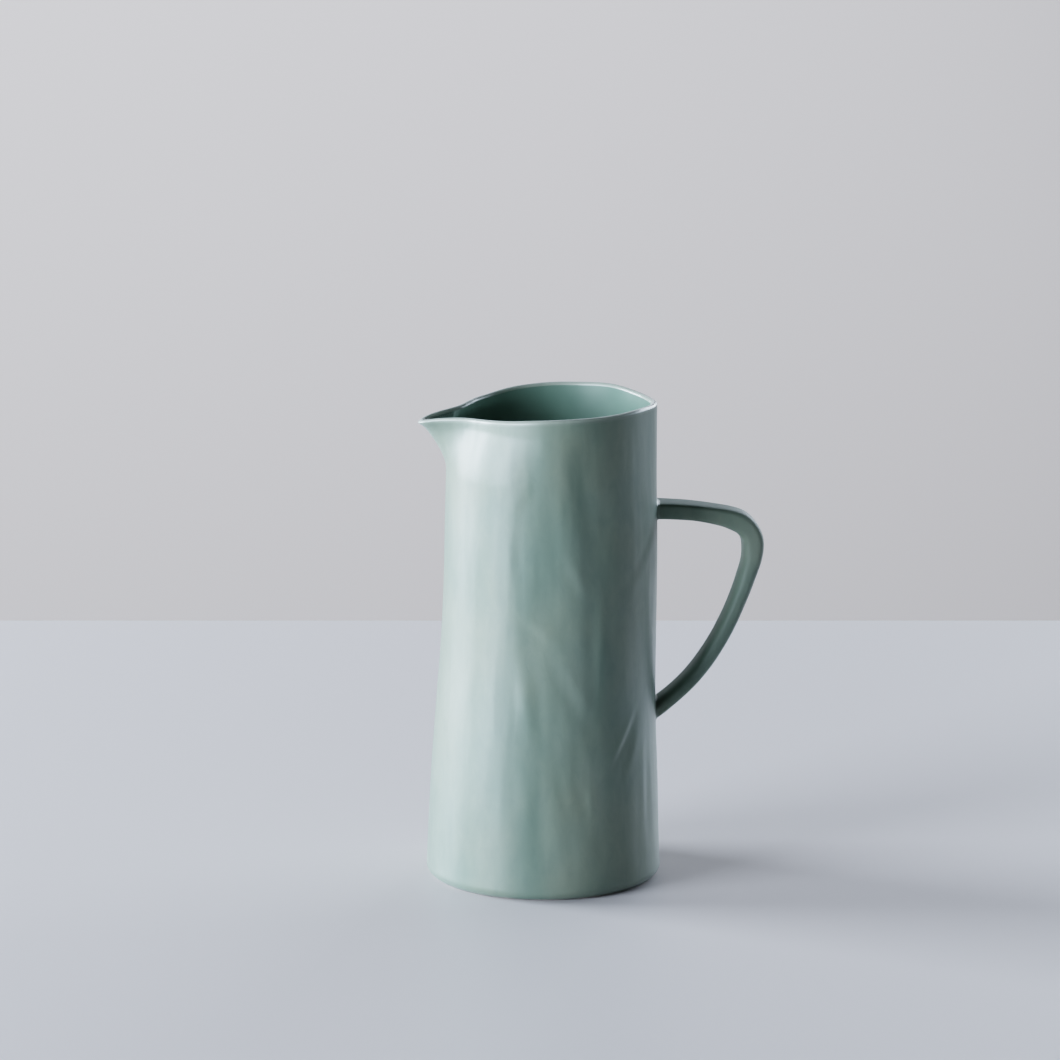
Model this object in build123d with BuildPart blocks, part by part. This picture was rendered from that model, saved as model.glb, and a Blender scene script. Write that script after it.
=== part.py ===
from build123d import *
import os
from math import cos, pi, radians, sin

# A hand-built ceramic pitcher: a slab cylinder that flares at the foot and leans a little towards the
# handle, a base slab, a pinched spout let into the rim, and a strap handle joined to the wall with two
# collars of clay. Millimetres, +Z up. The spout points along -X and the handle along +X. The origin is
# the centre of the flat foot.

# --- driving dimensions ---------------------------------------------------------------------------
rim_height = 230.0
foot_radius = 56.0
rim_radius = 50.0
rim_shift = 4.0  # how far the middle of the rim stands from the middle of the foot, towards the handle
wall_thickness = 3.2
slab_thickness = 6.0
foot_rounding = 5.0
seam_rounding = 5.0  # the hollow of the coil pressed into the inside corner
glaze_thickness = 0.4
glaze_line = 2.0  # the glaze stops this far under the rim

beak_reach = 13.0  # the tip of the spout beyond the round of the rim
nose_thickening = 0.35  # extra clay in the nose, as a share of the wall
beak_root = 198.0  # height at which the spout leaves the wall
beak_half_angle = 82.0  # where the pinched flanks leave the round of the rim, from the spout's middle
shoulder_angle = 52.0
shoulder_depth = 3.3  # how far the flanks are pressed in at the shoulder
pinch_angle = 27.0
pinch_depth = 4.5  # and beside the nose
notch_half_angle = 50.0  # the spout's own piece of clay at the rim, from its middle
notch_root = 194.0

tip_height = rim_height - 8.0
rim_dip_start = -4.0  # the rim is level behind this X, and drops in one arc to the spout
rim_dip_radius = 205.0
rim_rounding = 0.8

strap_width = 16.0
strap_edge = 2.2  # the rounding of the strap's long edges
strap_thickness_top = 7.6
strap_thickness_corner = 8.2
strap_thickness_low = 6.3
collar_margin = 2.4  # how far the clay pressed round each end of the handle stands out beside the strap
collar_lip = 0.35  # the collar's thinnest edge
collar_buried = 4.5  # from the end of the handle's line, inside the wall, to the wide end of the collar
collar_length = 8.5

above = rim_height + 10.0  # the forms run past the rim, and the rim is cut from them
reach = 80.0  # past everything on the spout's side


# --- the form, as outlines at several heights -----------------------------------------------------
def wall_radius(height):
    """Outside radius: nearly upright in the upper half, with a soft flare to the foot."""
    flare_top = 150.0
    waist_radius = rim_radius + 0.4
    if height >= flare_top:
        return rim_radius + 0.4 * (above - height) / (above - flare_top)
    share = (flare_top - height) / flare_top  # 1 at the foot
    flare = 0.5 * share**1.7 + 0.25 * (1.0 - cos(pi * share))
    return waist_radius + (foot_radius - waist_radius) * flare


def centre_shift(height):
    """The wall's middle drifts towards the handle over its middle stretch."""
    drift_start = 30.0
    share = min(max((height - drift_start) / (beak_root - drift_start), 0.0), 1.0)
    return rim_shift * (0.5 - 0.5 * cos(pi * share))


def round_outline(height, inset):
    """The outline below the spout, moved inwards by inset."""
    with BuildSketch(Plane.XY.offset(height)) as sketch:
        with Locations((centre_shift(height), 0)):
            Circle(wall_radius(height) - inset)
    return sketch.sketch


def beaked_outline(height, inset):
    """The outline from the spout's root up, moved inwards by inset: a round back, and two pinched
    flanks that meet in the rounded nose of the spout."""
    radius = wall_radius(height) - inset
    middle = centre_shift(height)
    share = (height - beak_root) / (tip_height - beak_root)  # 1 at the level of the spout's tip
    held = min(share, 1.0)
    flank_start = 180.0 - beak_half_angle
    with BuildSketch(Plane.XY.offset(height)) as sketch:
        with BuildLine():
            back = CenterArc((middle, 0), radius, 0, flank_start)
            if share == 0:
                CenterArc((middle, 0), radius, flank_start, beak_half_angle)
            else:
                nose = middle - radius - beak_reach * share**1.6 + nose_thickening * inset * held
                pressed = held**1.5
                shoulder = radius - shoulder_depth * pressed
                pinched = radius - pinch_depth * pressed
                turned = radians(shoulder_angle)
                shoulder_point = (middle - shoulder * cos(turned), shoulder * sin(turned))
                turned = radians(pinch_angle)
                pinch_point = (middle - pinched * cos(turned), pinched * sin(turned))
                Spline(
                    back @ 1,
                    shoulder_point,
                    pinch_point,
                    (nose, 0),
                    tangents=[back % 1, (0, -1)],
                    tangent_scalars=[1.0, 0.95 - 0.6 * held],
                )
            mirror(about=Plane.XZ)
        make_face()
    return sketch.sketch


round_heights = [20.0, 45.0, 70.0, 95.0, 120.0, 145.0, 170.0, beak_root]
beaked_heights = [beak_root, 202.0, 206.0, 210.0, 214.0, 218.0, tip_height, 230.0, above]


def form(floor, inset, rounding=None):
    """The pitcher's closed form from the floor to above the rim, moved inwards by inset. Its lower edge
    is rounded if a rounding is given."""
    with BuildPart() as solid:
        loft([round_outline(height, inset) for height in [floor] + round_heights])
        loft([beaked_outline(height, inset) for height in beaked_heights])
        if rounding:
            fillet(solid.edges().group_by(Axis.Z)[0], rounding)
    return solid.part


# The outside, the wall's own hollow, the hollow that the coil in its corner leaves, and the one that the
# glaze leaves.
outer_form = form(0.0, 0.0, foot_rounding)
clay_hollow = form(slab_thickness, wall_thickness)
coil_hollow = form(slab_thickness, wall_thickness, seam_rounding)
glaze_hollow = form(
    slab_thickness + glaze_thickness, wall_thickness + glaze_thickness, seam_rounding - glaze_thickness
)


def rim_cutter(drop):
    """Everything above the rim line, which is level at the back and falls in an arc towards the spout."""
    top = rim_height - drop
    with BuildPart() as cutter:
        with BuildSketch(Plane.XZ):
            with BuildLine():
                level = Line((reach, top), (rim_dip_start, top))
                dip = JernArc(level @ 1, (-1, 0), rim_dip_radius, 22.0)
                Polyline(dip @ 1, (-reach * 1.2, above + 5), (reach, above + 5), level @ 0)
            make_face()
        extrude(amount=reach, both=True)
    return cutter.part


# The V of clay that is cut out of the wall for the spout, as a prism through the spout's side of the rim.
with BuildPart() as notch:
    with BuildSketch(Plane.YZ.offset(-rim_radius * 0.4)):
        with BuildLine():
            half_width = rim_radius * sin(radians(notch_half_angle))
            front_side = Polyline((0, notch_root), (-half_width, rim_height), (-half_width, above + 5))
            back_side = Polyline((0, notch_root), (half_width, rim_height), (half_width, above + 5))
            Line(front_side @ 1, back_side @ 1)
        make_face()
    extrude(amount=-reach)


# --- base slab: the disc that the wall stands on, with the rounded edge of the foot ---------------
with BuildPart() as base_slab:
    add(outer_form)
    split(bisect_by=Plane.XY.offset(slab_thickness), keep=Keep.BOTTOM)

# --- wall and spout: one open shell with a rounded rim, divided along the spout's V ---------------
with BuildPart() as shell:
    add(outer_form)
    split(bisect_by=Plane.XY.offset(slab_thickness), keep=Keep.TOP)
    add(clay_hollow, mode=Mode.SUBTRACT)
    add(rim_cutter(0.0), mode=Mode.SUBTRACT)
    rim_edges = [
        edge
        for edge in shell.edges()
        if edge.bounding_box().min.Z > beak_root and edge.bounding_box().size.Y > wall_thickness * 1.5
    ]
    fillet(rim_edges, rim_rounding)

with BuildPart() as wall:
    add(shell.part)
    add(notch.part, mode=Mode.SUBTRACT)

with BuildPart() as spout:
    add(shell.part)
    add(notch.part, mode=Mode.INTERSECT)

# --- coil: pressed into the inside corner, where the wall stands on the slab ----------------------
with BuildPart() as base_seam_coil:
    add(clay_hollow)
    split(bisect_by=Plane.XY.offset(slab_thickness + seam_rounding * 1.5), keep=Keep.BOTTOM)
    add(coil_hollow, mode=Mode.SUBTRACT)

# --- lining: the clear gloss glaze that makes the inside watertight -------------------------------
with BuildPart() as interior_glaze:
    add(coil_hollow)
    add(glaze_hollow, mode=Mode.SUBTRACT)
    add(rim_cutter(glaze_line), mode=Mode.SUBTRACT)

# --- handle: a flat strap, level where it leaves the wall, turned down and drawn in to the wall again ---
with BuildLine(Plane.XZ) as handle_line:
    arm = ThreePointArc((46, 177), (70, 175.4), (90.4, 170.6))
    corner = TangentArc((90.4, 170.6), (99.7, 155.2), tangent=arm % 1)
    descent = TangentArc((99.7, 155.2), (48, 76.5), tangent=corner % 1)


def strap_section(line, share, thickness, margin=0.0):
    """The strap's section square to the line, at that share of its length, larger by margin all round."""
    with BuildSketch(Plane(line @ share, x_dir=(0, 1, 0), z_dir=line % share)) as section:
        RectangleRounded(strap_width + 2 * margin, thickness + 2 * margin, strap_edge + margin)
    return section.sketch


with BuildPart() as handle:
    path = handle_line.wires()[0]
    sweep(
        [
            strap_section(arm, 0, strap_thickness_top),
            strap_section(arm, 1, strap_thickness_top),
            strap_section(corner, 1, strap_thickness_corner),
            strap_section(descent, 1, strap_thickness_low),
        ],
        path=path,
        multisection=True,
    )
    add(outer_form, mode=Mode.SUBTRACT)


# --- collars: clay pressed round each end of the handle, widest where it meets the wall -----------
def collar(line, end, thickness):
    """A skirt of clay round the strap at that end of the line, from inside the wall to the bare strap."""
    inward = 1.0 if end == 0 else -1.0
    wide_share = end + inward * collar_buried / line.length
    slim_share = end + inward * (collar_buried + collar_length) / line.length
    with BuildPart() as skirt:
        loft(
            [
                strap_section(line, wide_share, thickness, collar_margin),
                strap_section(line, slim_share, thickness, collar_lip),
            ]
        )
        add(outer_form, mode=Mode.SUBTRACT)
        add(handle.part, mode=Mode.SUBTRACT)
    return skirt


upper_handle_collar = collar(arm, 0, strap_thickness_top)
lower_handle_collar = collar(descent, 1, strap_thickness_low)

pieces = {
    "base_slab": base_slab,
    "wall": wall,
    "spout": spout,
    "base_seam_coil": base_seam_coil,
    "interior_glaze": interior_glaze,
    "handle": handle,
    "upper_handle_collar": upper_handle_collar,
    "lower_handle_collar": lower_handle_collar,
}

os.makedirs("parts", exist_ok=True)
for name, piece in pieces.items():
    piece.part.label = name
    export_step(piece.part, f"parts/{name}.step")
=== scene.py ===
from math import atan2, cos, degrees, pi, radians, sin

import bmesh
import bpy
import numpy as np
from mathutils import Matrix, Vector, noise
from mathutils.bvhtree import BVHTree


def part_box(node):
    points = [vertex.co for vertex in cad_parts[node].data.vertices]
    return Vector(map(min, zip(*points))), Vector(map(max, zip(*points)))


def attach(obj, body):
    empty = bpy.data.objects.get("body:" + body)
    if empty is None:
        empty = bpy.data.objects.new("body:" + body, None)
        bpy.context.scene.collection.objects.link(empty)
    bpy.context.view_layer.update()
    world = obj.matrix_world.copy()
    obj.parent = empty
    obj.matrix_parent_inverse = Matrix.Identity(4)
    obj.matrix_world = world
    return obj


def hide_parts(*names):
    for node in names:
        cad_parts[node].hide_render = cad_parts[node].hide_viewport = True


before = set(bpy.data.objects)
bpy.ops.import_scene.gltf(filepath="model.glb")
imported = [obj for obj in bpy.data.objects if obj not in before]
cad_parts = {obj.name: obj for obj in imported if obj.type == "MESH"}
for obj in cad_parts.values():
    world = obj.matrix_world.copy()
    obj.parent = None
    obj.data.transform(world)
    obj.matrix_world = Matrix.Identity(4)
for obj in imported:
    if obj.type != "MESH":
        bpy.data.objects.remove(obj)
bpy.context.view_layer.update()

# A hand-built celadon pitcher: every piece but the hidden seam coil is rebuilt here with its hand-smoothed
# surface, in the CAD frame. The shape functions work in millimetres, and the meshes are written in metres.

MM = 0.001

# --- sizes: the first three are read from the CAD frame ---
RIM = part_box("wall")[1].z / MM
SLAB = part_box("base_slab")[1].z / MM
TIP_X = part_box("spout")[0].x / MM

# the part's own driving dimensions
FOOT_RADIUS = 56.0
RIM_RADIUS = 50.0
RIM_SHIFT = 4.0
WALL = 3.2
GLAZE = 0.4
FOOT_ROUNDING = 5.0
SEAM_ROUNDING = 5.0
TIP_HEIGHT = RIM - 8.0
BEAK_ROOT = RIM - 32.0
BEAK_REACH = RIM_SHIFT - RIM_RADIUS - TIP_X + 0.3
BEAK_POINT = 2.6  # the nose is drawn out to a finer point in its last few millimetres
PINCH_DEPTH = 4.5  # how far the flanks are pressed in beside the nose
NOSE_THICKENING = 0.35  # extra clay in the nose, as a share of the wall
NOTCH_HALF_ANGLE = 50.0  # the spout's own piece of clay at the rim, from its middle
NOTCH_ROOT = RIM - 36.0

# the wall's line and the rim's
FLARE_TOP = 150.0  # the wall is nearly upright above this height
UPPER_TAPER = 0.4  # how much it still narrows from there up
FULLNESS = 0.35  # and how much its lower part stands out
DRIFT_START = 30.0  # the wall's middle drifts towards the handle above this height
BOW = 0.35  # the drift runs ahead by this much, low down
RIM_DIP_START = -4.0  # the rim is level behind this X, and drops in one arc to the spout
RIM_DIP_RADIUS = 205.0
LIP_HEIGHT = 1.45  # the rounding of the lip

# how finely the meshes are divided
COLUMNS = 384
OUTER_ROWS = 190
LIP_ROWS = 13
INNER_ROWS = 110
LINING_ROWS = 120


# --- small helpers ---
def curve_through(xs, ys):
    """A smooth function through the points, with no overshoot between them (monotone cubic)."""
    xs, ys = np.array(xs, float), np.array(ys, float)
    steps = np.diff(xs)
    slopes = np.diff(ys) / steps
    tangents = np.zeros_like(xs)
    tangents[0], tangents[-1] = slopes[0], slopes[-1]
    for i in range(1, len(xs) - 1):
        if slopes[i - 1] * slopes[i] > 0:
            weight_a, weight_b = 2 * steps[i] + steps[i - 1], steps[i] + 2 * steps[i - 1]
            tangents[i] = (weight_a + weight_b) / (weight_a / slopes[i - 1] + weight_b / slopes[i])

    def value(x):
        x = np.clip(x, xs[0], xs[-1])
        i = np.clip(np.searchsorted(xs, x, side="right") - 1, 0, len(xs) - 2)
        t = (x - xs[i]) / steps[i]
        return (
            (2 * t**3 - 3 * t**2 + 1) * ys[i]
            + (t**3 - 2 * t**2 + t) * steps[i] * tangents[i]
            + (3 * t**2 - 2 * t**3) * ys[i + 1]
            + (t**3 - t**2) * steps[i] * tangents[i + 1]
        )

    return value


def smooth(low, high, x):
    t = np.clip((x - low) / (high - low), 0.0, 1.0)
    return t * t * (3 - 2 * t)


def hump(x, middle, half_width):
    """1 at the middle, falling smoothly to 0 at half_width on each side."""
    t = np.clip(np.abs(x - middle) / half_width, 0.0, 1.0)
    return (1 - t * t) ** 2


# --- the pitcher's form ---
def wall_radius(z):
    waist = RIM_RADIUS + UPPER_TAPER
    share = np.clip((FLARE_TOP - z) / FLARE_TOP, 0.0, 1.0)
    flare = 0.5 * share**1.7 + 0.25 * (1 - np.cos(pi * share))
    taper = UPPER_TAPER * np.clip((z - FLARE_TOP) / 90.0, 0.0, 1.0)
    fuller = FULLNESS * (1 - smooth(FLARE_TOP, 200.0, z))
    return waist + (FOOT_RADIUS - waist) * flare - taper + fuller


def centre_shift(z):
    share = np.clip((z - DRIFT_START) / (BEAK_ROOT - DRIFT_START), 0.0, 1.0)
    return RIM_SHIFT * (0.5 - 0.5 * np.cos(pi * share)) + BOW * hump(z, 90.0, 85.0)


# Round the rim: degrees from the spout's middle, against shares of the beak's reach and of the pinch.
nose_share = curve_through(
    [0, 1.5, 4, 8, 12, 17, 22, 27, 34], [1.0, 0.965, 0.79, 0.50, 0.315, 0.165, 0.075, 0.025, 0.0]
)
pinch_share = curve_through(
    [0, 4, 8, 12, 17, 22, 28, 34, 42, 50, 60, 70, 80, 92],
    [0.0, 0.09, 0.31, 0.53, 0.80, 0.96, 1.0, 0.99, 0.90, 0.77, 0.52, 0.27, 0.09, 0.0],
)
# the rim's own unevenness at the back, in millimetres
back_share = curve_through([0, 92, 112, 130, 150, 166, 180], [0.0, 0.0, -0.7, -1.3, -1.3, -0.5, 0.3])


def from_spout(angle):
    """Degrees from the spout's middle, on either side."""
    return np.abs((angle + 180.0) % 360.0 - 180.0)


def form_radius(angle, z):
    """Outside radius from the wall's middle. The angle is in degrees from the spout, towards the front."""
    away = from_spout(angle)
    share = np.clip((z - BEAK_ROOT) / (TIP_HEIGHT - BEAK_ROOT), 0.0, 1.35)
    held = np.minimum(share, 1.0)
    reach = BEAK_REACH * share**1.6 + BEAK_POINT * smooth(0.88, 1.08, share)
    pinch = PINCH_DEPTH * held**1.5
    uneven = smooth(FLARE_TOP, RIM, z) * back_share(away)
    return wall_radius(z) + reach * nose_share(away) - pinch * pinch_share(away) + uneven


# How the rim rises and falls by hand: degrees from the spout towards the front and round, and millimetres.
RIM_WAVE = [
    (0, 2.0), (9, 1.2), (18, 0.3), (30, -0.2), (54, 0.0), (75, 0.9), (97, 1.6), (120, 1.5), (138, 1.7),
    (155, 1.0), (172, 0.0), (184, -0.4), (202, 0.2), (212, 0.8), (228, 1.5), (247, 0.6), (262, 0.15),
    (275, -0.6), (290, -1.4), (302, -1.9), (320, -1.2), (342, -0.6), (351, 0.9), (360, 2.0),
]
rim_wave = curve_through(*zip(*RIM_WAVE))


def rim_height(angle, x):
    """The rim line: level at the back, dropping in an arc to the spout, with a slow hand-made wave."""
    past = np.maximum(RIM_DIP_START - x, 0.0)
    drop = RIM_DIP_RADIUS - np.sqrt(RIM_DIP_RADIUS**2 - past**2)
    wave = np.mean([rim_wave((angle + turn) % 360.0) for turn in (-6, -3, 0, 3, 6)], axis=0)
    return RIM - drop + wave


# Depths of the hand-smoothed surface's layers, from long soft facets down to smears.
BROAD_DEPTH, FACET_DEPTH, STROKE_DEPTH, SMEAR_DEPTH = 0.42, 0.28, 0.15, 0.055


def hand_marks(angle, z):
    """How far the outer surface stands out or in from being smoothed by hand, apart from single strokes."""
    marks = np.zeros_like(angle)
    flat = marks.ravel()
    for i, (a, h) in enumerate(zip(angle.ravel(), z.ravel())):
        across, around = cos(radians(a)), sin(radians(a))
        broad = noise.noise(Vector((across * 1.25 + 3.1, around * 1.25 + 7.7, h / 70.0 + 1.3)))
        facet = noise.noise(Vector((across * 2.9 + 11.0, around * 2.9 - 4.0, h / 48.0 + around * 0.8)))
        stroke = noise.noise(Vector((across * 6.2 - 2.0, around * 6.2 + 5.0, h / 30.0 - across * 1.7)))
        smear = noise.noise(Vector((across * 15.0 + 4.0, around * 15.0 - 9.0, h / 21.0 + a / 14.0)))
        flat[i] = BROAD_DEPTH * broad + FACET_DEPTH * facet + STROKE_DEPTH * stroke + SMEAR_DEPTH * smear
    return marks


# Strokes left by the palm and the thumb. Each is: degrees from the spout towards the front, height, half
# its width, half its length, its lean in degrees (top towards the spout), and how far it tilts the surface.
STROKES = [
    (97, 187, 7.0, 30, 8, 0.17), (67, 192, 3.0, 6, -30, 0.05), (63, 165, 2.5, 9, 5, 0.08),
    (76, 130, 2.5, 8, 55, -0.09), (95, 103, 3.5, 14, 30, -0.11), (95, 156, 3.0, 8, 27, -0.11),
    (76, 95, 3.5, 12, 5, 0.13), (68, 98, 3.0, 10, 12, -0.07), (109, 127, 3.5, 17, 3, -0.12),
    (127, 74, 1.7, 10, -34, 0.26), (132, 68, 2.6, 8, -24, -0.16), (145, 49, 2.5, 17, 0, 0.13),
    (143, 160, 3.0, 12, -45, -0.12), (105, 48, 2.5, 5, 10, -0.14), (85, 38, 3.5, 15, 5, -0.09),
    (92, 47, 2.0, 9, 20, 0.05), (109, 23, 4.0, 5, 0, 0.06), (41, 145, 2.5, 14, 3, 0.05),
    (57, 94, 4.0, 18, 4, 0.04), (118, 186, 3.0, 20, -6, -0.05),
    # the far side
    (196, 190, 6.0, 24, -7, 0.10), (212, 150, 3.5, 16, 24, -0.08), (205, 104, 4.0, 18, -18, 0.09),
    (222, 60, 3.0, 14, 8, -0.09), (238, 170, 5.0, 26, 6, 0.09), (252, 118, 3.0, 15, -34, -0.08),
    (262, 74, 5.0, 20, 10, 0.07), (276, 182, 3.0, 12, 28, -0.07), (290, 136, 4.5, 22, -5, 0.08),
    (304, 88, 2.5, 12, 36, -0.08), (316, 44, 4.0, 16, 4, 0.06), (334, 120, 3.5, 20, -12, 0.06),
]


def stroke_marks(angle, z):
    """The strokes' part of the surface: each turns its own patch a little, and rises or sinks beside it."""
    mean_radius = 53.0
    marks = np.zeros_like(angle)
    for middle, height, half_width, half_length, lean, slope in STROKES:
        around = np.radians((angle - middle + 180.0) % 360.0 - 180.0) * mean_radius
        up = z - height
        across = around * cos(radians(lean)) + up * sin(radians(lean))
        along = up * cos(radians(lean)) - around * sin(radians(lean))
        fall = np.exp(-0.5 * (across / half_width) ** 2 - 0.5 * (along / half_length) ** 2)
        marks -= slope * across * fall
    return marks


def ring_point(angle, radius, z):
    """Points at those angles, radii and heights, round the wall's own middle."""
    turn = np.radians(angle)
    return np.stack([centre_shift(z) - radius * np.cos(turn), -radius * np.sin(turn), z], axis=-1)


angles = np.arange(COLUMNS) * 360.0 / COLUMNS


# the rim's height in each column, found in a few rounds, as the wall's place depends on the height itself
rim_z = np.full(COLUMNS, RIM)
for _ in range(8):
    rim_x = ring_point(angles, form_radius(angles, rim_z), rim_z)[:, 0]
    rim_z = rim_height(angles, rim_x)


def marks_fade(z):
    """Hand marks fade to nothing at the foot's rounding and soften just under the rim."""
    return smooth(1.0, 14.0, z) * (1.0 - 0.55 * smooth(-14.0, -1.0, z - RIM))


def outer_point(z):
    """One row of the outer surface, z being an array with a height for each column."""
    radius = form_radius(angles, z) + (hand_marks(angles, z) + stroke_marks(angles, z)) * marks_fade(z)
    rounding = np.maximum(FOOT_ROUNDING - z, 0.0)
    radius = radius - (FOOT_ROUNDING - np.sqrt(np.maximum(FOOT_ROUNDING**2 - rounding**2, 0.0)))
    return ring_point(angles, radius, z)


def inner_point(z, inset):
    """One row of the inside, moved in by inset. Its hand marks are softer than the outside's."""
    held = np.clip((z - BEAK_ROOT) / (TIP_HEIGHT - BEAK_ROOT), 0.0, 1.0)
    nose_extra = NOSE_THICKENING * inset * held * nose_share(from_spout(angles))
    radius = form_radius(angles, z) - inset - nose_extra + 0.4 * hand_marks(angles, z) * marks_fade(z)
    return ring_point(angles, radius, z)


# --- meshes ---
def grid_mesh(name, rows, closed_loop=False, cap_first=None, cap_last=None):
    """A mesh of rings of points. closed_loop joins the last ring to the first; a cap closes an end."""
    mesh = bpy.data.meshes.new(name)
    count = len(rows[0])
    points = np.concatenate(rows) * MM
    faces = []
    pairs = [(r, r + 1) for r in range(len(rows) - 1)]
    if closed_loop:
        pairs.append((len(rows) - 1, 0))
    for low, high in pairs:
        for c in range(count):
            d = (c + 1) % count
            faces.append((low * count + c, low * count + d, high * count + d, high * count + c))
    points = points.tolist()
    if cap_first is not None:
        points.append([v * MM for v in cap_first])
        for c in range(count):
            faces.append((len(points) - 1, (c + 1) % count, c))
    if cap_last is not None:
        points.append([v * MM for v in cap_last])
        start = (len(rows) - 1) * count
        for c in range(count):
            faces.append((len(points) - 1, start + c, start + (c + 1) % count))
    mesh.from_pydata(points, [], faces)
    mesh.update()
    return mesh


def outward(mesh):
    """Turns every face to look outwards."""
    bm = bmesh.new()
    bm.from_mesh(mesh)
    bmesh.ops.recalc_face_normals(bm, faces=bm.faces)
    bm.to_mesh(mesh)
    bm.free()
    mesh.update()


def add_object(name, mesh):
    piece = bpy.data.objects.new(name, mesh)
    bpy.context.scene.collection.objects.link(piece)
    return piece


def shell_rows():
    """The clay shell as rings: up the outside from the slab, over the rounded lip, and down the inside."""
    rows = []
    top = rim_z - LIP_HEIGHT
    for t in np.linspace(0.0, 1.0, OUTER_ROWS):
        rows.append(outer_point(SLAB + (top - SLAB) * t))
    outer_edge = rows[-1]
    inner_edge = inner_point(top, WALL)
    # over the lip, as half an ellipse between the outer and the inner edge
    for t in np.linspace(0.0, pi, LIP_ROWS + 2)[1:-1]:
        across = (1 - cos(t)) / 2
        ring = outer_edge * (1 - across) + inner_edge * across
        ring[:, 2] = top + LIP_HEIGHT * sin(t)
        rows.append(ring)
    for t in np.linspace(0.0, 1.0, INNER_ROWS):
        rows.append(inner_point(top + (SLAB - top) * t, WALL))
    return rows


def slab_side_rows():
    """The slab's side: the foot's rounding and the short upright above it."""
    rows = []
    for turn in np.linspace(0.0, 90.0, 12):
        z = FOOT_ROUNDING * (1 - cos(radians(turn)))
        rows.append(outer_point(np.full(COLUMNS, z)))
    rows.append(outer_point(np.full(COLUMNS, SLAB - 0.5)))
    rows.append(outer_point(np.full(COLUMNS, SLAB)))
    return rows


shell = shell_rows()
slab_side = slab_side_rows()
shell_mesh = grid_mesh("shell", shell, closed_loop=True)
outward(shell_mesh)

# --- the whole glazed surface in one piece: its normals are kept, so that no joint shows as a line ---
whole_mesh = grid_mesh("whole", slab_side[:-1] + shell)
outward(whole_mesh)
whole = bmesh.new()
whole.from_mesh(whole_mesh)
whole.normal_update()
whole.faces.ensure_lookup_table()
whole_tree = BVHTree.FromBMesh(whole)


ON_SURFACE = 0.03 * MM  # a point no further off than this is on the whole surface
ALIKE = 0.6  # the least cosine between two faces that are taken for the same one


def surface_normal(point, face_normal):
    """The whole surface's smooth normal at that point, or the face's own if it isn't part of it."""
    near, _, index, distance = whole_tree.find_nearest(point)
    if index is None or distance > ON_SURFACE:
        return face_normal
    face = whole.faces[index]
    alike = face.normal.dot(face_normal)
    if abs(alike) < ALIKE:
        return face_normal
    total = Vector()
    for vert in face.verts:
        total += vert.normal * (1.0 / ((vert.co - near).length + 1e-7))
    total.normalize()
    return total if alike > 0 else -total


def smooth_as_whole(mesh):
    """Gives a piece the whole surface's normals, so that it shades as one with its neighbours."""
    mesh.polygons.foreach_set("use_smooth", [True] * len(mesh.polygons))
    normals = [(0.0, 0.0, 1.0)] * len(mesh.loops)
    for face in mesh.polygons:
        for loop in face.loop_indices:
            point = mesh.vertices[mesh.loops[loop].vertex_index].co
            normals[loop] = tuple(surface_normal(point, face.normal))
    mesh.normals_split_custom_set(normals)


def notch_mesh():
    """The prism of the V of clay let into the rim for the spout, run well past its tip and over the rim."""
    mesh = bpy.data.meshes.new("notch")
    half = RIM_RADIUS * sin(radians(NOTCH_HALF_ANGLE))
    outline = [(0, NOTCH_ROOT), (half, RIM), (half, RIM + 20), (-half, RIM + 20), (-half, RIM)]
    near_x, far_x = -20.0, -80.0
    points = [(x * MM, y * MM, z * MM) for x in (near_x, far_x) for y, z in outline]
    count = len(outline)
    faces = [tuple(range(count)), tuple(reversed(range(count, 2 * count)))]
    faces += [(i, i + count, (i + 1) % count + count, (i + 1) % count) for i in range(count)]
    mesh.from_pydata(points, [], faces)
    outward(mesh)
    return mesh


def mark_lip(mesh):
    """A value on each vertex: 1 on the lip, falling to 0 two millimetres below it, inside and out."""
    attribute = mesh.attributes.new("lip", "FLOAT", "POINT")
    round_angles, round_rim = np.append(angles, 360.0), np.append(rim_z, rim_z[0])
    for i, vertex in enumerate(mesh.vertices):
        x, y, z = vertex.co / MM
        at = degrees(atan2(-y, centre_shift(z) - x)) % 360.0
        rim = np.interp(at, round_angles, round_rim)
        attribute.data[i].value = float(1.0 - smooth(0.7, 1.9, rim - z))


def cut_shell(name, operation):
    """The shell's part outside or inside the notch's prism, shaded as one with the whole surface."""
    piece = add_object(name, shell_mesh.copy())
    piece.data.name = name
    knife = add_object("knife", notch_mesh())
    modifier = piece.modifiers.new("divide", "BOOLEAN")
    modifier.operation = operation
    modifier.solver = "EXACT"
    modifier.object = knife
    graph = bpy.context.evaluated_depsgraph_get()
    result = bpy.data.meshes.new_from_object(piece.evaluated_get(graph))
    piece.modifiers.clear()
    piece.data = result
    result.name = name
    knife_mesh = knife.data
    bpy.data.objects.remove(knife)
    bpy.data.meshes.remove(knife_mesh)
    smooth_as_whole(result)
    mark_lip(result)
    return piece


wall = cut_shell("clay_wall", "DIFFERENCE")
spout = cut_shell("clay_spout", "INTERSECT")


# --- base slab: the rounded foot, flat underneath ---
def base_mesh():
    """The slab's rings, from the middle of its underside out, up its side, and back over the top."""
    under, over = [], []
    for share in (0.06, 0.14, 0.24, 0.36, 0.5, 0.64, 0.78, 0.9, 0.97):
        ring = slab_side[0] * share
        ring[:, 2] = 0.0
        under.append(ring)
    for share in (0.97, 0.8, 0.55, 0.3, 0.1):
        ring = slab_side[-1] * share
        ring[:, 2] = SLAB
        over.append(ring)
    mesh = grid_mesh("base_slab", under + slab_side + over, cap_first=(0, 0, 0), cap_last=(0, 0, SLAB))
    outward(mesh)
    smooth_as_whole(mesh)
    return mesh


base_slab = add_object("base_slab_glazed", base_mesh())

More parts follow.
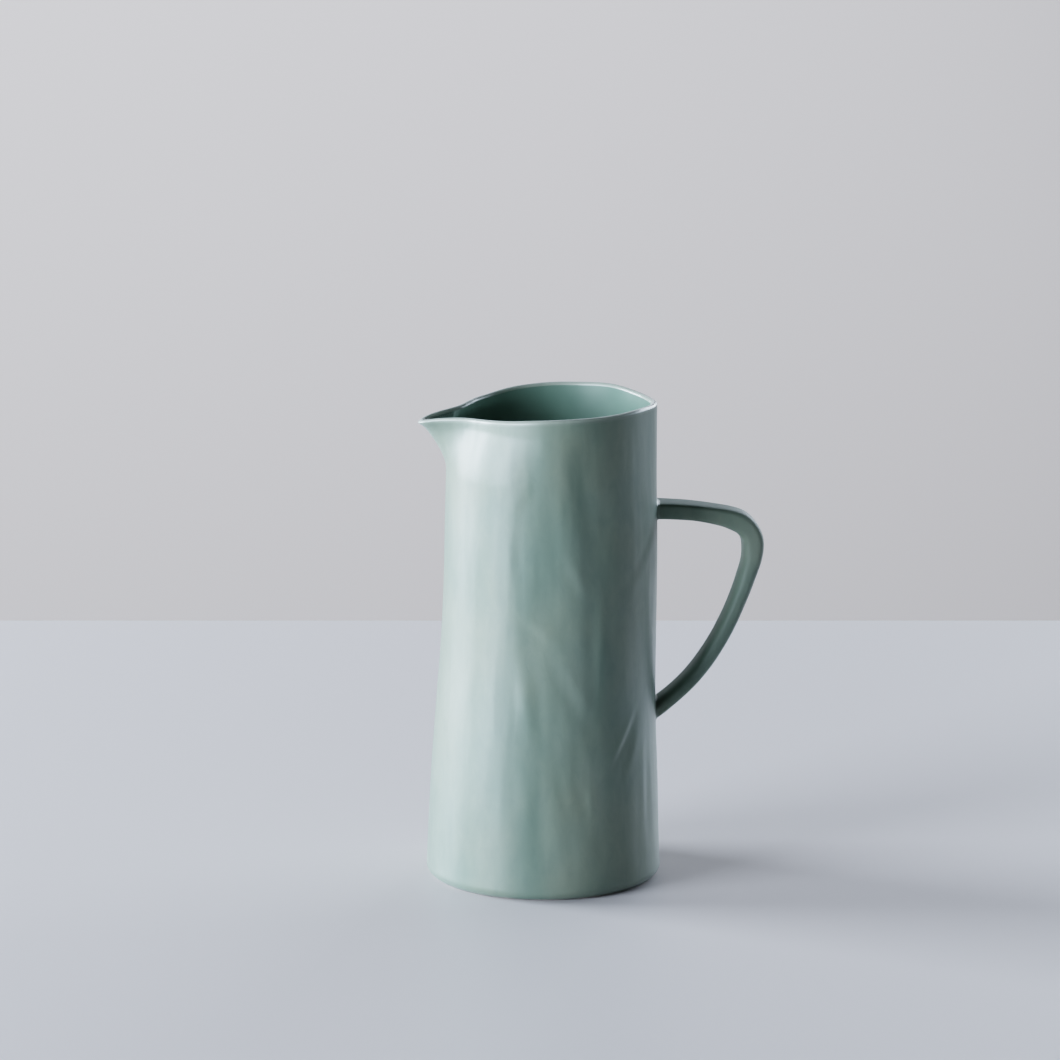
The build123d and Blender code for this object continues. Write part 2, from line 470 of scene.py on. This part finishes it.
# --- lining: the gloss glaze inside ---
GLAZE_LINE = 1.5  # the lining stops this far under the rim
GLAZE_EDGE = 0.03  # its thickness there
FEATHER = 26.0  # and how far down it comes to its full thickness
BACK_EDGE, BACK_DEPTH, BACK_FEATHER_ROWS = 0.015, 0.33, 24.0  # how far its back lies behind its front


def lining_rings():
    """Rings down the inside face, round the corner, and in over the floor."""
    front = []
    top = rim_z - GLAZE_LINE
    floor = SLAB + GLAZE
    corner = SEAM_ROUNDING - GLAZE
    low = floor + corner
    for t in np.linspace(0.0, 1.0, LINING_ROWS):
        z = top + (low - top) * t
        thickness = GLAZE_EDGE + (GLAZE - GLAZE_EDGE) * smooth(0.0, FEATHER, top - z)
        front.append(inner_point(z, WALL + thickness))
    edge = front[-1]
    from_middle = edge - np.array([centre_shift(low), 0.0, 0.0])
    lengths = np.linalg.norm(from_middle[:, :2], axis=1, keepdims=True)
    for turn in np.linspace(0.0, 90.0, 10)[1:]:
        ring = edge.copy()
        ring[:, :2] -= from_middle[:, :2] / lengths * (corner * (1 - cos(radians(turn))))
        ring[:, 2] = low - corner * sin(radians(turn))
        front.append(ring)
    floor_edge = front[-1]
    centre = np.array([0.0, 0.0, floor])
    for share in (0.96, 0.88, 0.74, 0.56, 0.36, 0.18, 0.06):
        front.append(centre + (floor_edge - centre) * share)
    return front


def back_depth(row):
    return BACK_EDGE + BACK_DEPTH * min(row / BACK_FEATHER_ROWS, 1.0)


def rings_behind(rings, centre_point):
    """The same rings moved out along the surface's own normals, by the back's depth at each row."""
    mesh = grid_mesh("temp", rings, cap_last=centre_point)
    outward(mesh)
    bm = bmesh.new()
    bm.from_mesh(mesh)
    bm.normal_update()
    bm.verts.ensure_lookup_table()
    middle = Vector(rings[0].mean(axis=0).tolist()) * MM
    sample = bm.verts[COLUMNS * 30]  # any point on the upright part
    flip = 1.0 if sample.normal.dot(sample.co - middle) > 0 else -1.0
    moved = []
    for r in range(len(rings)):
        ring = []
        for c in range(COLUMNS):
            vert = bm.verts[r * COLUMNS + c]
            ring.append(vert.co / MM + vert.normal * flip * back_depth(r))
        moved.append(np.array([tuple(p) for p in ring]))
    bm.free()
    bpy.data.meshes.remove(mesh)
    return moved


floor_centre = (0.0, 0.0, SLAB + GLAZE)
lining_front = lining_rings()
lining_back = rings_behind(lining_front, floor_centre)
lining = grid_mesh(
    "interior_glaze", lining_front[::-1] + lining_back,
    cap_first=floor_centre, cap_last=(0.0, 0.0, SLAB + 0.05),
)
outward(lining)
lining.polygons.foreach_set("use_smooth", [True] * len(lining.polygons))
# the glaze's upper edge is crisp, so that it catches no light of its own
top_start = (len(lining_front) - 1) * COLUMNS
for edge in lining.edges:
    low_vertex, high_vertex = sorted(edge.vertices)
    on_front = top_start <= low_vertex and high_vertex < top_start + COLUMNS
    on_back = top_start + COLUMNS <= low_vertex and high_vertex < top_start + 2 * COLUMNS
    edge.use_edge_sharp = on_front or on_back
interior = add_object("interior_glaze_gloss", lining)


# --- handle: a flat strap bent to an arm, a knuckle and a long descent ---
def blend(first, second, start, end, t):
    """From first at start to second at end, in a straight line."""
    return (end - t) / (end - start) * first + (t - start) / (end - start) * second


def spline_points(controls, count):
    """Points evenly spaced along a centripetal Catmull-Rom curve through the controls."""
    p = [np.array(c, float) for c in controls]
    p = [2 * p[0] - p[1]] + p + [2 * p[-1] - p[-2]]
    dense = []
    for i in range(1, len(p) - 2):
        k = [0.0]
        for j in range(3):
            k.append(k[-1] + np.linalg.norm(p[i + j] - p[i + j - 1]) ** 0.5)
        for t in np.linspace(k[1], k[2], 40, endpoint=False):
            a1 = blend(p[i - 1], p[i], k[0], k[1], t)
            a2 = blend(p[i], p[i + 1], k[1], k[2], t)
            a3 = blend(p[i + 1], p[i + 2], k[2], k[3], t)
            b1 = blend(a1, a2, k[0], k[2], t)
            b2 = blend(a2, a3, k[1], k[3], t)
            dense.append(blend(b1, b2, k[1], k[2], t))
    dense.append(p[-2])
    dense = np.array(dense)
    for _ in range(6):  # even out the small kinks between the controls
        dense[1:-1] = 0.25 * dense[:-2] + 0.5 * dense[1:-1] + 0.25 * dense[2:]
    lengths = np.concatenate([[0.0], np.cumsum(np.linalg.norm(np.diff(dense, axis=0), axis=1))])
    wanted = np.linspace(0.0, lengths[-1], count)
    return np.stack([np.interp(wanted, lengths, dense[:, k]) for k in range(dense.shape[1])], axis=1)


# The strap's middle line from inside the wall, along the arm, round the knuckle and down: X and Z.
HANDLE_LINE = [
    (50.6, 177.2), (60.0, 176.7), (71.0, 175.7), (80.0, 174.2), (89.0, 172.0), (96.0, 168.6),
    (100.2, 162.4), (100.5, 153.2), (97.2, 141.5), (93.5, 131.5), (89.1, 121.5), (84.0, 111.8),
    (78.4, 103.0), (71.3, 94.2), (63.4, 86.6), (56.3, 80.9), (50.8, 77.2),
]
handle_line = spline_points(HANDLE_LINE, 230)
handle_shares = np.linspace(0.0, 1.0, len(handle_line))
# The strap's section along the line's length, which counts from 0 to 1.
strap_thickness = curve_through(
    [0, 0.12, 0.22, 0.29, 0.36, 0.45, 0.56, 0.7, 0.88, 1.0],
    [7.9, 7.8, 8.8, 10.2, 10.3, 8.8, 8.3, 8.0, 7.5, 7.9],
)
strap_width = curve_through([0, 0.1, 0.4, 0.7, 0.9, 1.0], [17.0, 16.2, 15.6, 15.8, 16.2, 17.2])
strap_roundness = curve_through([0, 0.2, 0.36, 0.5, 1.0], [0.32, 0.40, 0.58, 0.78, 0.72])
SECTION = 72  # points round the section
UNEVENNESS, UNEVEN_LENGTH = 0.035, 17.0


def strap_outline(thickness, width, power):
    """The section as offsets out of the loop and across: a soft rectangle at a low power, an oval at 1."""
    turn = np.linspace(0.0, 2 * pi, SECTION, endpoint=False)
    u = np.sign(np.cos(turn)) * np.abs(np.cos(turn)) ** power * thickness / 2
    v = np.sign(np.sin(turn)) * np.abs(np.sin(turn)) ** power * width / 2
    return u, v


def handle_rings():
    """The strap's sections from the upper root to the lower one, a little uneven as pulled clay is."""
    rings = []
    tangent = np.gradient(handle_line, axis=0)
    tangent /= np.linalg.norm(tangent, axis=1, keepdims=True)
    for (x, z), (tx, tz), share in zip(handle_line, tangent, handle_shares):
        u, v = strap_outline(strap_thickness(share), strap_width(share), strap_roundness(share))
        middle = np.array([x, 0.0, z])
        out = np.array([-tz, 0.0, tx])  # square to the line, in the handle's plane
        ring = middle + u[:, None] * out + v[:, None] * np.array([0.0, 1.0, 0.0])
        for k in range(SECTION):
            at = Vector((ring[k] / UNEVEN_LENGTH).tolist())
            ring[k] += (ring[k] - middle) * UNEVENNESS * noise.noise(at)
        rings.append(ring)
    return rings


strap_rings = handle_rings()
(first_x, first_z), (last_x, last_z) = handle_line[0], handle_line[-1]
handle_mesh = grid_mesh(
    "handle", strap_rings, cap_first=(first_x, 0.0, first_z), cap_last=(last_x, 0.0, last_z)
)
outward(handle_mesh)
handle_mesh.polygons.foreach_set("use_smooth", [True] * len(handle_mesh.polygons))
handle = add_object("handle_strap", handle_mesh)


# --- collars: clay smoothed into a fillet where each end of the handle meets the wall ---
def wall_face_x(y, z):
    """Where the outer surface of the wall is on the handle's side, in millimetres."""
    outside = Vector((0.12, y * MM, z * MM))
    hit, _, _, _ = whole_tree.ray_cast(outside, Vector((-1, 0, 0)))
    return hit.x / MM


def find_root(line):
    """Where a line of points along the strap comes out of the wall, and the number of the point before."""
    for i in range(len(line) - 1):
        here, after = line[i], line[i + 1]
        gap_after = after[0] - wall_face_x(after[1], after[2])
        if gap_after > 0:
            gap_here = here[0] - wall_face_x(here[1], here[2])
            t = -gap_here / (gap_after - gap_here)
            return here * (1 - t) + after * t, i


COLLAR_BEND = 0.10  # how close the fillet's hollow comes to the corner, as a share of its own size
COLLAR_SUNK = 0.6  # how far its hidden side lies inside the wall


def collar_mesh(name, rings, spread, along):
    """A ring of concave fillet round the strap, whose rings start at the wall: spread is how far it runs
    out over the wall, and along how far up the strap."""
    stations = np.array(rings)  # station, section point, xyz
    roots = [find_root(stations[:, k, :]) for k in range(SECTION)]
    middle = np.mean([root for root, _ in roots], axis=0)
    profiles = []
    for k, (root, i) in enumerate(roots):
        line = stations[:, k, :]
        before, after = line[i], line[min(i + 4, len(line) - 1)]
        up = (after - before) / np.linalg.norm(after - before)
        out = root - middle
        out[0] = 0.0
        out /= np.linalg.norm(out)
        foot = root + out * spread
        foot[0] = wall_face_x(foot[1], foot[2])
        top = root + up * along
        bend = root + (out * COLLAR_BEND * spread + up * COLLAR_BEND * along)
        profile = []
        for t in np.linspace(0.0, 1.0, 12):
            profile.append((1 - t) ** 2 * foot + 2 * t * (1 - t) * bend + t * t * top)
        # and back to the foot, inside the strap and the wall
        sunk_top = top - (top - np.array([top[0], middle[1], middle[2]])) * 0.08
        sunk_root = root - out * 0.7
        sunk_foot = root + out * (spread * 0.5)
        sunk_root[0] = root[0] - COLLAR_SUNK
        sunk_foot[0] = root[0] - COLLAR_SUNK
        profiles.append(profile + [sunk_top, sunk_root, sunk_foot])
    profiles = np.array(profiles)  # section point, profile point, xyz
    mesh = grid_mesh(name, [profiles[:, j, :] for j in range(profiles.shape[1])], closed_loop=True)
    outward(mesh)
    mesh.polygons.foreach_set("use_smooth", [True] * len(mesh.polygons))
    return mesh


upper_collar = add_object("upper_collar", collar_mesh("upper_collar", strap_rings, 1.2, 1.4))
lower_collar = add_object("lower_collar", collar_mesh("lower_collar", strap_rings[::-1], 1.3, 1.5))
whole.free()


# --- materials ---
def new_material(name):
    material = bpy.data.materials.new(name)
    material.use_nodes = True
    tree = material.node_tree
    tree.nodes.clear()
    output = tree.nodes.new("ShaderNodeOutputMaterial")
    shader = tree.nodes.new("ShaderNodeBsdfPrincipled")
    tree.links.new(shader.outputs["BSDF"], output.inputs["Surface"])
    return material, tree, shader


def texture_noise(tree, vector, scale, detail=3.0, roughness=0.5, distortion=0.0):
    node = tree.nodes.new("ShaderNodeTexNoise")
    node.inputs["Scale"].default_value = scale
    node.inputs["Detail"].default_value = detail
    node.inputs["Roughness"].default_value = roughness
    node.inputs["Distortion"].default_value = distortion
    tree.links.new(vector, node.inputs["Vector"])
    return node.outputs["Fac"]


def ramp(tree, factor, stops):
    node = tree.nodes.new("ShaderNodeValToRGB")
    node.color_ramp.interpolation = "EASE"
    elements = node.color_ramp.elements
    while len(elements) < len(stops):
        elements.new(0.5)
    for element, (position, colour) in zip(elements, stops):
        element.position = position
        element.color = (*colour, 1.0)
    tree.links.new(factor, node.inputs["Fac"])
    return node.outputs["Color"]


def remap(tree, value, low, high, to_low, to_high):
    node = tree.nodes.new("ShaderNodeMapRange")
    node.inputs["From Min"].default_value = low
    node.inputs["From Max"].default_value = high
    node.inputs["To Min"].default_value = to_low
    node.inputs["To Max"].default_value = to_high
    tree.links.new(value, node.inputs["Value"])
    return node.outputs["Result"]


def mix_colour(tree, factor, first, second, blend="MIX"):
    node = tree.nodes.new("ShaderNodeMix")
    node.data_type = "RGBA"
    node.blend_type = blend
    for value, socket in ((factor, node.inputs[0]), (first, node.inputs[6]), (second, node.inputs[7])):
        if isinstance(value, (int, float)):
            socket.default_value = value
        elif isinstance(value, tuple):
            socket.default_value = (*value, 1.0)
        else:
            tree.links.new(value, socket)
    return node.outputs[2]


def math_node(tree, operation, first, second):
    node = tree.nodes.new("ShaderNodeMath")
    node.operation = operation
    for value, socket in ((first, node.inputs[0]), (second, node.inputs[1])):
        if isinstance(value, (int, float)):
            socket.default_value = value
        else:
            tree.links.new(value, socket)
    return node.outputs[0]


def add_bump(tree, shader, layers):
    """Bumps laid over each other: (height, strength, distance in metres)."""
    normal = None
    for height, strength, distance in layers:
        node = tree.nodes.new("ShaderNodeBump")
        node.inputs["Strength"].default_value = strength
        node.inputs["Distance"].default_value = distance
        tree.links.new(height, node.inputs["Height"])
        if normal is not None:
            tree.links.new(normal, node.inputs["Normal"])
        normal = node.outputs["Normal"]
    tree.links.new(normal, shader.inputs["Normal"])


GLAZE_COLOUR = (0.184, 0.230, 0.182)
GLAZE_THIN = (0.218, 0.262, 0.212)
GLAZE_POOLED = (0.152, 0.204, 0.160)
# paler colour on the lip: partly the glaze breaking thin over it, partly a painted highlight along the
# rounded rim
LIP_PALE_AND_HIGHLIGHT = (0.330, 0.370, 0.320)  # where it breaks thin over the lip
GLAZE_FLECK = (0.11, 0.16, 0.14)
BARE_CLAY = [(0.35, (0.36, 0.33, 0.28)), (0.55, (0.47, 0.43, 0.37)), (0.7, (0.56, 0.52, 0.45))]
LIP_SHINE = 0.18  # how much smoother the glaze is on the lip


def satin_glaze(name, foot=False, dryness=0.0):
    """Satin celadon over clay: it breaks paler in streaks, pools a little darker, and has a fine tooth.
    The foot's is wiped off the underside, and a higher dryness takes away some of its shine."""
    material, tree, shader = new_material(name)
    coordinates = tree.nodes.new("ShaderNodeTexCoord")
    position = coordinates.outputs["Object"]
    stretch = tree.nodes.new("ShaderNodeMapping")
    stretch.inputs["Scale"].default_value = (1.0, 1.0, 0.32)
    tree.links.new(position, stretch.inputs["Vector"])
    long_streaks = texture_noise(tree, stretch.outputs["Vector"], 42.0, 3.0, 0.45, 0.35)
    clouds = texture_noise(tree, position, 16.0, 2.0, 0.5)
    lean = tree.nodes.new("ShaderNodeMapping")
    lean.inputs["Rotation"].default_value = (radians(24.0), radians(24.0), 0.0)
    lean.inputs["Scale"].default_value = (1.0, 1.0, 0.5)
    tree.links.new(position, lean.inputs["Vector"])
    wiped = texture_noise(tree, lean.outputs["Vector"], 190.0, 4.0, 0.62, 0.5)
    speckle = texture_noise(tree, position, 2600.0, 2.0, 0.5)
    tooth = texture_noise(tree, position, 900.0, 3.0, 0.55)
    base = ramp(tree, long_streaks, [(0.30, GLAZE_POOLED), (0.52, GLAZE_COLOUR), (0.74, GLAZE_THIN)])
    cloudy = ramp(tree, clouds, [(0.35, (0.93, 0.97, 0.99)), (0.65, (1.07, 1.03, 1.01))])
    colour = mix_colour(tree, 1.0, base, cloudy, "MULTIPLY")
    mottle_stops = [(0.30, (0.94, 0.95, 0.96)), (0.50, (1.0, 1.0, 1.0)), (0.70, (1.06, 1.05, 1.04))]
    mottle = ramp(tree, wiped, mottle_stops)
    colour = mix_colour(tree, 1.0, colour, mottle, "MULTIPLY")
    fleck = remap(tree, speckle, 0.66, 0.74, 0.0, 0.25)
    colour = mix_colour(tree, fleck, colour, GLAZE_FLECK)
    lip = tree.nodes.new("ShaderNodeAttribute")
    lip.attribute_name = "lip"
    # the lip is mixed towards the paler colour: part glaze breaking thin, part painted highlight on the rim
    colour = mix_colour(tree, lip.outputs["Fac"], colour, LIP_PALE_AND_HIGHLIGHT)
    satin_roughness = remap(tree, clouds, 0.3, 0.7, 0.38 + dryness, 0.46 + dryness)
    shine = math_node(tree, "MULTIPLY", lip.outputs["Fac"], LIP_SHINE)
    roughness = math_node(tree, "SUBTRACT", satin_roughness, shine)
    if foot:
        separate = tree.nodes.new("ShaderNodeSeparateXYZ")
        tree.links.new(position, separate.inputs["Vector"])
        wobble = texture_noise(tree, position, 70.0, 2.0, 0.5)
        edge = math_node(tree, "ADD", separate.outputs["Z"], remap(tree, wobble, 0.3, 0.7, -0.0003, 0.0003))
        bare = remap(tree, edge, 0.0006, 0.0009, 1.0, 0.0)
        grog = texture_noise(tree, position, 420.0, 4.0, 0.65)
        colour = mix_colour(tree, bare, colour, ramp(tree, grog, BARE_CLAY))
        roughness = math_node(tree, "ADD", roughness, math_node(tree, "MULTIPLY", bare, 0.45))
    tree.links.new(colour, shader.inputs["Base Color"])
    tree.links.new(roughness, shader.inputs["Roughness"])
    shader.inputs["IOR"].default_value = 1.55
    shader.inputs["Specular Tint"].default_value = (0.86, 0.94, 1.0, 1.0)
    shader.inputs["Coat Weight"].default_value = 0.45 - dryness
    shader.inputs["Coat Roughness"].default_value = 0.40
    shader.inputs["Sheen Weight"].default_value = 0.12
    shader.inputs["Sheen Roughness"].default_value = 0.45
    shader.inputs["Sheen Tint"].default_value = (0.72, 0.87, 1.0, 1.0)
    add_bump(tree, shader, [(long_streaks, 0.30, 0.0007), (wiped, 0.16, 0.0005), (tooth, 0.10, 0.00012)])
    return material


def gloss_glaze(name):
    """The lining: a deeper green, fluid and glossy, in soft clouds."""
    material, tree, shader = new_material(name)
    coordinates = tree.nodes.new("ShaderNodeTexCoord")
    position = coordinates.outputs["Object"]
    clouds = texture_noise(tree, position, 24.0, 3.0, 0.5)
    ripple = texture_noise(tree, position, 90.0, 2.0, 0.5)
    colour = ramp(tree, clouds, [(0.32, (0.130, 0.206, 0.168)), (0.68, (0.162, 0.238, 0.196))])
    tree.links.new(colour, shader.inputs["Base Color"])
    tree.links.new(remap(tree, clouds, 0.3, 0.7, 0.28, 0.36), shader.inputs["Roughness"])
    shader.inputs["IOR"].default_value = 1.65
    shader.inputs["Coat Weight"].default_value = 1.0
    shader.inputs["Coat Roughness"].default_value = 0.20
    add_bump(tree, shader, [(ripple, 0.08, 0.0004)])
    return material


satin = satin_glaze("satin_glaze")
foot_glaze = satin_glaze("foot_glaze", foot=True)
handle_glaze = satin_glaze("handle_glaze", dryness=0.25)
gloss = gloss_glaze("gloss_glaze")

dressings = [
    (wall, "wall", "glazed_exterior", satin),
    (spout, "spout", "glazed_exterior", satin),
    (base_slab, "base_slab", "foot_clay", foot_glaze),
    (interior, "interior_glaze", "gloss_lining", gloss),
    (handle, "handle", "glazed_exterior", handle_glaze),
    (upper_collar, "upper_handle_collar", "glazed_exterior", satin),
    (lower_collar, "lower_handle_collar", "glazed_exterior", satin),
]
for piece, node, slot, material in dressings:
    piece.data.materials.clear()
    piece.data.materials.append(material)
    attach(piece, "root")
    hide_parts(node)

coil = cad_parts["base_seam_coil"]
coil.data.materials.clear()
coil.data.materials.append(satin)


# --- floor and backdrop ---
def plain_surface(name, colour, roughness):
    material, _, shader = new_material(name)
    shader.inputs["Base Color"].default_value = (*colour, 1.0)
    shader.inputs["Roughness"].default_value = roughness
    return material


def flat_quad(name, corners, material):
    mesh = bpy.data.meshes.new(name)
    mesh.from_pydata(corners, [], [(0, 1, 2, 3)])
    mesh.materials.append(material)
    add_object(name, mesh)


CAMERA_AZIMUTH = -7.0
view_turn = radians(CAMERA_AZIMUTH)
view_right = Vector((cos(view_turn), sin(view_turn), 0.0))
view_away = Vector((-sin(view_turn), cos(view_turn), 0.0))


def stage_point(across, back, height):
    return tuple(view_right * across + view_away * back + Vector((0.0, 0.0, height)))


TABLE_FRONT, TABLE_BACK, TABLE_SIDE = -3, 0.51, 3
WALL_BACK, WALL_SIDE, WALL_FOOT, WALL_TOP = 3.2, 5, -2.5, 3.0
flat_quad(
    "floor",
    [
        stage_point(-TABLE_SIDE, TABLE_FRONT, 0), stage_point(TABLE_SIDE, TABLE_FRONT, 0),
        stage_point(TABLE_SIDE, TABLE_BACK, 0), stage_point(-TABLE_SIDE, TABLE_BACK, 0),
    ],
    plain_surface("pale_floor", (0.63, 0.60, 0.615), 0.5),
)
flat_quad(
    "backdrop",
    [
        stage_point(-WALL_SIDE, WALL_BACK, WALL_FOOT), stage_point(WALL_SIDE, WALL_BACK, WALL_FOOT),
        stage_point(WALL_SIDE, WALL_BACK, WALL_TOP), stage_point(-WALL_SIDE, WALL_BACK, WALL_TOP),
    ],
    plain_surface("pale_wall", (0.84, 0.74, 0.70), 0.9),
)


# --- light ---
DAYLIGHT = (0.88, 1.00, 1.13)
LIT_HEIGHT = 0.12  # the lights are aimed at the pitcher's middle


def side_light(name, bearing, elevation, distance, size, power):
    """A soft square light at a bearing in degrees from the camera, towards the right."""
    data = bpy.data.lights.new(name, "AREA")
    data.shape = "RECTANGLE"
    data.size, data.size_y = size, size
    data.energy = power
    data.color = DAYLIGHT
    lamp = bpy.data.objects.new(name, data)
    bpy.context.scene.collection.objects.link(lamp)
    level = view_right * sin(radians(bearing)) - view_away * cos(radians(bearing))
    towards = level * cos(radians(elevation)) + Vector((0.0, 0.0, sin(radians(elevation))))
    target = Vector((0.0, 0.0, LIT_HEIGHT))
    position = target + towards * distance
    lamp.location = position
    lamp.rotation_mode = "QUATERNION"
    lamp.rotation_quaternion = (target - position).to_track_quat("-Z", "Y")


# name, bearing, elevation, distance, size, power
LIGHTS = [
    ("near_window", -57.0, 12.0, 4.0, 2.0, 190.0),
    ("far_window", -105.0, 12.0, 2.9, 1.45, 160.0),
    ("room_fill", -25.0, 12.0, 4.0, 2.0, 9.0),
    ("side_bounce", 120.0, 15.0, 2.9, 1.45, 24.5),
    ("back_bounce", 150.0, 15.0, 2.9, 1.45, 30.5),
]
for light in LIGHTS:
    side_light(*light)

# The camera sees a plain bright surround past the floor; everything else gets only a little light from it.
world = bpy.data.worlds.new("studio")
bpy.context.scene.world = world
world.use_nodes = True
sky = world.node_tree
surround = sky.nodes["Background"]
surround.inputs["Color"].default_value = (0.70, 0.70, 0.72, 1.0)
surround.inputs["Strength"].default_value = 1.0
ambient = sky.nodes.new("ShaderNodeBackground")
ambient.inputs["Color"].default_value = (0.95, 1.0, 1.0, 1.0)
ambient.inputs["Strength"].default_value = 0.01
seen = sky.nodes.new("ShaderNodeLightPath")
either = sky.nodes.new("ShaderNodeMixShader")
sky.links.new(seen.outputs["Is Camera Ray"], either.inputs[0])
sky.links.new(ambient.outputs[0], either.inputs[1])
sky.links.new(surround.outputs[0], either.inputs[2])
sky.links.new(either.outputs[0], sky.nodes["World Output"].inputs["Surface"])
bpy.context.scene.view_settings.view_transform = "Filmic"
bpy.context.scene.view_settings.look = "High Contrast"

# --- camera ---
CAMERA_ELEVATION, CAMERA_DISTANCE = 12.8, 3.0
AIM_ACROSS, AIM_HEIGHT = -0.0064, 0.168
rise = radians(CAMERA_ELEVATION)
towards_camera = Vector((sin(view_turn) * cos(rise), -cos(view_turn) * cos(rise), sin(rise)))
aim = view_right * AIM_ACROSS + Vector((0.0, 0.0, AIM_HEIGHT))
camera_data = bpy.data.cameras.new("camera")
camera_data.lens = 214.0
camera_data.sensor_width = 36.0
camera_data.clip_start, camera_data.clip_end = 0.05, 50.0
camera = bpy.data.objects.new("camera", camera_data)
bpy.context.scene.collection.objects.link(camera)
camera.location = aim + towards_camera * CAMERA_DISTANCE
camera.rotation_mode = "QUATERNION"
camera.rotation_quaternion = (-towards_camera).to_track_quat("-Z", "Y")
bpy.context.scene.camera = camera
